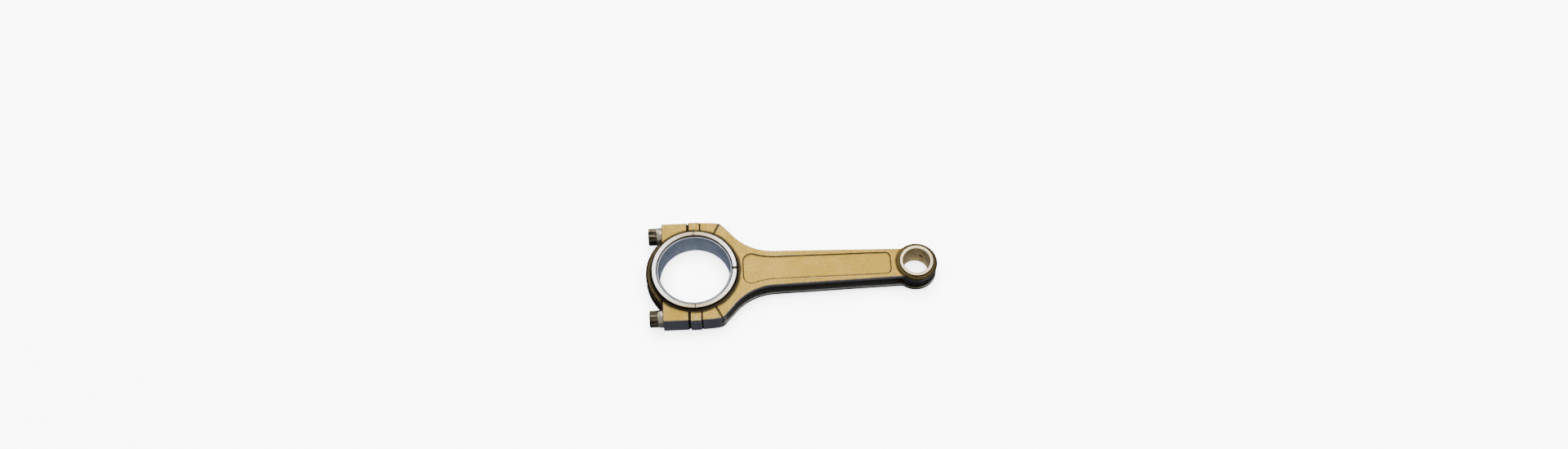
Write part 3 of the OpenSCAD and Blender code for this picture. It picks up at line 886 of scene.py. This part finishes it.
def boltTree(s):
    inputs = [("Geometry", "NodeSocketGeometry", None),
              ("Axis Offset", "NodeSocketFloat", 0.0), ("Head Turn", "NodeSocketFloat", 0.0),
              ("Across Flats", "NodeSocketFloat", 0.011), ("Pitch", "NodeSocketFloat", 0.001),
              ("Thread Depth", "NodeSocketFloat", 0.0006), ("Shank Radius", "NodeSocketFloat", 0.0045),
              ("Rings", "NodeSocketInt", 400), ("Sides", "NodeSocketInt", 72),
              ("Material", "NodeSocketMaterial", None)]
    tree, given, out = newTree("twelvePointBolt", "GeometryNodeTree", inputs,
                               [("Geometry", "NodeSocketGeometry")])
    grid = tree.nodes.new("GeometryNodeMeshGrid")
    feed(tree, grid.inputs["Size X"], 1.0)
    feed(tree, grid.inputs["Size Y"], 1.0)
    feed(tree, grid.inputs["Vertices X"], given.outputs["Rings"])
    feed(tree, grid.inputs["Vertices Y"], maths(tree, "ADD", given.outputs["Sides"], 1))
    where = tree.nodes.new("GeometryNodeInputPosition")
    parts = tree.nodes.new("ShaderNodeSeparateXYZ")
    tree.links.new(where.outputs[0], parts.inputs[0])
    alongProfile = maths(tree, "ADD", parts.outputs["X"], 0.5)
    angle = maths(tree, "MULTIPLY", maths(tree, "ADD", parts.outputs["Y"], 0.5), 2 * math.pi)
    sample = tree.nodes.new("GeometryNodeSampleCurve")
    sample.mode = "FACTOR"
    sample.use_all_curves = True
    tree.links.new(given.outputs["Geometry"], sample.inputs["Curves"])
    feed(tree, sample.inputs["Factor"], alongProfile)
    station = tree.nodes.new("ShaderNodeSeparateXYZ")
    tree.links.new(sample.outputs["Position"], station.inputs[0])
    x, profileR = station.outputs["X"], station.outputs["Y"]
    # twelve points: two hexagons, a twelfth of a turn apart
    turned = maths(tree, "ADD", angle, given.outputs["Head Turn"])
    sixth = maths(tree, "FLOORED_MODULO", turned, math.pi / 3)
    fromMiddle = maths(tree, "ABSOLUTE", maths(tree, "SUBTRACT", sixth, math.pi / 6))
    furthest = maths(tree, "MAXIMUM", fromMiddle, maths(tree, "SUBTRACT", math.pi / 6, fromMiddle))
    half = maths(tree, "MULTIPLY", given.outputs["Across Flats"], 0.5)
    star = maths(tree, "DIVIDE", half, maths(tree, "COSINE", furthest))
    headR = maths(tree, "MINIMUM", star, profileR)
    runoutR = maths(tree, "MAXIMUM", star, profileR)
    # thread: a triangle wave along the helix, flattened on crest and root
    turns = maths(tree, "SUBTRACT", maths(tree, "DIVIDE", x, given.outputs["Pitch"]),
                  maths(tree, "DIVIDE", angle, 2 * math.pi))
    wave = maths(tree, "ABSOLUTE", maths(tree, "MULTIPLY_ADD", maths(tree, "FRACT", turns), 2.0, -1.0))
    ridge = remap(tree, wave, *s["ridge"], smooth=False)
    start = s["threadStart"]
    runIn = remap(tree, x, start * mm, (start + s["threadRunIn"]) * mm, smooth=False)
    depth = maths(tree, "MULTIPLY", given.outputs["Thread Depth"], runIn)
    cutDepth = maths(tree, "MULTIPLY", depth, maths(tree, "SUBTRACT", 1.0, ridge))
    cutR = maths(tree, "SUBTRACT", given.outputs["Shank Radius"], cutDepth)
    threadR = maths(tree, "MINIMUM", profileR, cutR)
    radius = choose(tree, x, s["threadStart"] * mm, profileR, threadR)
    radius = choose(tree, x, s["pointRunout"] * mm, runoutR, radius)
    radius = choose(tree, x, s["coneStart"] * mm, headR, radius)
    y = maths(tree, "MULTIPLY_ADD", radius, maths(tree, "COSINE", angle), given.outputs["Axis Offset"])
    z = maths(tree, "MULTIPLY", radius, maths(tree, "SINE", angle))
    spot = tree.nodes.new("ShaderNodeCombineXYZ")
    for socket, value in zip(spot.inputs, (x, y, z)):
        feed(tree, socket, value)
    move = tree.nodes.new("GeometryNodeSetPosition")
    tree.links.new(grid.outputs["Mesh"], move.inputs["Geometry"])
    tree.links.new(spot.outputs[0], move.inputs["Position"])
    weld = tree.nodes.new("GeometryNodeMergeByDistance")
    weld.inputs["Distance"].default_value = 0.000002
    tree.links.new(move.outputs["Geometry"], weld.inputs["Geometry"])
    realize = tree.nodes.new("GeometryNodeRealizeInstances")
    tree.links.new(weld.outputs["Geometry"], realize.inputs["Geometry"])
    paint = tree.nodes.new("GeometryNodeSetMaterial")
    tree.links.new(realize.outputs["Geometry"], paint.inputs["Geometry"])
    tree.links.new(given.outputs["Material"], paint.inputs["Material"])
    tree.links.new(paint.outputs["Geometry"], out.inputs["Geometry"])
    return tree


def boltProfile(s):
    end, seat, tip = s["headEnd"], s["seat"], s["tip"]
    dimple = end + s["dimpleDepth"]
    tipR = s["shankR"] - s["tipChamfer"]
    return [(dimple, 0), (dimple - 0.15, s["dimpleR"] * 0.55), (end + 0.12, s["dimpleR"]),
            (end, s["dimpleR"] + 0.25), (end, s["pointR"] - 0.6), (end + 0.1, s["pointR"] - 0.42),
            (end + 0.75, s["pointR"]), (s["coneStart"] - 0.02, s["pointR"]), (s["coneStart"], s["coneR"]),
            (seat - s["flangeHeight"] - 0.15, s["flangeR"] - 0.12),
            (seat - s["flangeHeight"] + 0.1, s["flangeR"]), (seat - 0.2, s["flangeR"]),
            (seat, s["flangeR"] - 0.2), (seat, s["shankR"]), (seat + 2.8, s["shankR"]),
            (seat + 3.8, s["waistR"]), (-s["fitBand"] - 0.8, s["waistR"]), (-s["fitBand"], s["shankR"]),
            (s["threadStart"], s["shankR"]), (tip - s["tipChamfer"], s["shankR"]), (tip - 0.1, tipR + 0.1),
            (tip, tipR - 0.1), (tip, 1.4), (tip - 0.5, 1.1), (tip - 0.6, 0)]


def setInput(modifier, label, value):
    for item in modifier.node_group.interface.items_tree:
        if item.item_type == "SOCKET" and item.in_out == "INPUT" and item.name == label:
            modifier[item.identifier] = value
            return
    raise KeyError(label)


def makeBolt(name, side, tree, s, material):
    curve = bpy.data.curves.new(name + "Profile", "CURVE")
    curve.dimensions = "3D"
    spline = curve.splines.new("POLY")
    points = boltProfile(s)
    spline.points.add(len(points) - 1)
    for point, (x, r) in zip(spline.points, points):
        point.co = (x * mm, r * mm, 0, 1)
    piece = place(name, curve)
    form = piece.modifiers.new("form", "NODES")
    form.node_group = tree
    sign = 1 if side == "left" else -1
    for label, value in (("Axis Offset", sign * rod["boltY"] * mm),
                         ("Head Turn", math.radians(s["turns"][side])),
                         ("Across Flats", s["acrossFlats"] * mm), ("Pitch", s["pitch"] * mm),
                         ("Thread Depth", s["threadDepth"] * mm), ("Shank Radius", s["shankR"] * mm),
                         ("Rings", s["rings"]), ("Sides", s["sides"]), ("Material", material)):
        setInput(form, label, value)
    piece = applyAll(piece)
    mesh = piece.data
    if meshVolume(mesh) < 0:
        mesh.flip_normals()
    mesh.shade_smooth()
    mesh.set_sharp_from_angle(angle=math.radians(24))
    print(name, "has", len(mesh.polygons), "faces")
    return piece


def meshVolume(mesh):
    mesh.calc_loop_triangles()
    corners = np.empty(len(mesh.loop_triangles) * 3, np.int32)
    mesh.loop_triangles.foreach_get("vertices", corners)
    co = np.empty(len(mesh.vertices) * 3, np.float32)
    mesh.vertices.foreach_get("co", co)
    t = co.reshape(-1, 3).astype(float)[corners.reshape(-1, 3)]
    return float(np.einsum("ij,ij->i", t[:, 0], np.cross(t[:, 1], t[:, 2])).sum() / 6)


# A closed outline (radius, height) with softened corners, swept around Z or along X
def softened(outline, size, steps=3):
    points = [np.array(p, float) for p in outline]
    result = []
    for n, corner in enumerate(points):
        before, after = points[n - 1] - corner, points[(n + 1) % len(points)] - corner
        reach = min(size, np.hypot(*before) * 0.45, np.hypot(*after) * 0.45)
        start = corner + before / np.hypot(*before) * reach
        end = corner + after / np.hypot(*after) * reach
        for k in range(steps + 1):
            t = k / steps
            result.append((1 - t) ** 2 * start + 2 * t * (1 - t) * corner + t * t * end)
    return np.array(result)


def turned(name, outline, centre, sides, start=0.0, sweep=360.0, alongX=False):
    whole = sweep >= 360
    count = sides if whole else sides + 1
    angles = np.radians(start + sweep * np.arange(count) / sides)
    r, h = outline[:, 0], outline[:, 1]
    c, s = np.cos(angles)[:, None], np.sin(angles)[:, None]
    if alongX:
        points = np.stack([centre[0] + h[None] + 0 * c, centre[1] + r * c, centre[2] + r * s], 2)
    else:
        points = np.stack([centre[0] + r * c, centre[1] + r * s, centre[2] + h[None] + 0 * c], 2)
    width = len(outline)
    faces = []
    for a in range(sides):
        b = (a + 1) % count
        for n in range(width):
            m = (n + 1) % width
            faces.append((a * width + n, b * width + n, b * width + m, a * width + m))
    if not whole:
        faces.append(tuple(range(width))[::-1])
        faces.append(tuple(range((count - 1) * width, count * width)))
    mesh = bpy.data.meshes.new(name)
    mesh.from_pydata((points.reshape(-1, 3) * mm).tolist(), [], faces)
    if meshVolume(mesh) < 0:
        mesh.flip_normals()
    return place(name, mesh)


def block(name, low, high):
    x0, y0, z0 = low
    x1, y1, z1 = high
    corners = [(x, y, z) for x in (x0, x1) for y in (y0, y1) for z in (z0, z1)]
    faces = [(0, 1, 3, 2), (4, 6, 7, 5), (0, 4, 5, 1), (2, 3, 7, 6), (0, 2, 6, 4), (1, 5, 7, 3)]
    mesh = bpy.data.meshes.new(name)
    mesh.from_pydata([tuple(c * mm for c in corner) for corner in corners], [], faces)
    if meshVolume(mesh) < 0:
        mesh.flip_normals()
    return place(name, mesh)


def combine(piece, others, operation):
    for other in others:
        step = piece.modifiers.new(other.name, "BOOLEAN")
        step.operation, step.solver, step.object = operation, "EXACT", other
    piece = applyAll(piece)
    for other in others:
        bpy.data.objects.remove(other)
    return piece


def polished(piece, angle=32):
    piece.data.shade_smooth()
    piece.data.set_sharp_from_angle(angle=math.radians(angle))
    weight = piece.modifiers.new("weight", "WEIGHTED_NORMAL")
    weight.keep_sharp = True
    weight.weight = 60
    piece = applyAll(piece)
    print(piece.name, "has", len(piece.data.polygons), "faces")
    return piece


bush = {"bore": mountRadius["wrist_pin_bore"], "outer": rod["bushR"], "half": bushHigh.z, "chamfer": 0.6,
        "soft": 0.12, "sides": 160}


def makeBush(s):
    inner, lip = s["bore"], s["bore"] + s["chamfer"]
    flat = s["half"] - s["chamfer"]
    outline = softened([(inner, -flat), (lip, -s["half"]), (s["outer"], -s["half"]), (s["outer"], s["half"]),
                        (lip, s["half"]), (inner, flat)], s["soft"])
    piece = turned("wristPinBush", outline, (pinX, 0, 0), s["sides"])
    drills = []
    for side in (1, -1):
        a = math.radians(rod["oilHoleAngle"] * side)
        tool = turned("oilDrill", np.array([(0.001, 4.0), (rod["oilHoleR"], 4.0), (rod["oilHoleR"], 20.0),
                                            (0.001, 20.0)]), (0, 0, 0), 32, alongX=True)
        tool.data.transform(Matrix.Translation((pinX * mm, 0, 0)) @ Matrix.Rotation(a, 4, "Z"))
        drills.append(tool)
    return polished(combine(piece, drills, "DIFFERENCE"))


shell = {"inner": mountRadius["crank_journal_bore"], "outer": rod["housingR"], "half": shellHigh.z,
         "chamfer": (0.55, 0.5), "soft": 0.1, "sides": 110, "jointGap": 0.05,
         "tangLength": 5.0, "tangReach": 27.9, "tangZ": (5.6, 9.2)}


def makeShell(name, sign, s):
    bevelR, bevelZ = s["chamfer"]
    inner, lip, flat = s["inner"], s["inner"] + bevelR, s["half"] - bevelZ
    outline = softened([(inner, -flat), (lip, -s["half"]), (s["outer"], -s["half"]), (s["outer"], s["half"]),
                        (lip, s["half"]), (inner, flat)], s["soft"])
    start = -90 + s["jointGap"] if sign > 0 else 90 + s["jointGap"]
    piece = turned(name, outline, (0, 0, 0), s["sides"], start, 180 - 2 * s["jointGap"])
    x0, x1 = sorted((sign * 0.1, sign * s["tangLength"]))
    tang = block("tang", (x0, -s["tangReach"], s["tangZ"][0]), (x1, -s["inner"] - 0.6, s["tangZ"][1]))
    return polished(combine(piece, [tang], "UNION"))


dowel = {"outer": rod["dowelHoleR"], "inner": 4.59, "half": dowelHigh.x, "soft": 0.25, "sides": 72}


def makeDowel(name, side, s):
    outline = softened([(s["inner"], -s["half"]), (s["outer"], -s["half"]), (s["outer"], s["half"]),
                        (s["inner"], s["half"])], s["soft"])
    return polished(turned(name, outline, (0, side * rod["boltY"], 0), s["sides"], alongX=True))


bushPiece = makeBush(bush)
shellRod = makeShell("bearingShellRodSide", 1, shell)
shellCap = makeShell("bearingShellCapSide", -1, shell)
dowels = {side: makeDowel("ringDowel" + side.capitalize(), sign, dowel)
          for side, sign in (("left", 1), ("right", -1))}
print("bush, shells and dowels are turned")


boltForm = boltTree(bolt)
bolts = {side: makeBolt("capBolt" + side.capitalize(), side, boltForm, bolt, looks["bolt_steel"])
         for side in ("left", "right")}

for piece, body, node, slot in (
        (rodPiece, "rod", "rod_body", "rod_steel"),
        (capPiece, "cap", "rod_cap", "rod_steel"),
        (bolts["left"], "bolt_left", "cap_bolt_left", "bolt_steel"),
        (bolts["right"], "bolt_right", "cap_bolt_right", "bolt_steel"),
        (dowels["left"], "rod", "ring_dowel_left", "dowel_steel"),
        (dowels["right"], "rod", "ring_dowel_right", "dowel_steel"),
        (shellRod, "rod", "bearing_shell_rod", "bearing_overlay"),
        (shellCap, "cap", "bearing_shell_cap", "bearing_overlay"),
        (bushPiece, "rod", "small_end_bush", "bush_bronze")):
    piece.data.materials.clear()
    piece.data.materials.append(looks[slot])
    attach(piece, body)
    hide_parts(node)
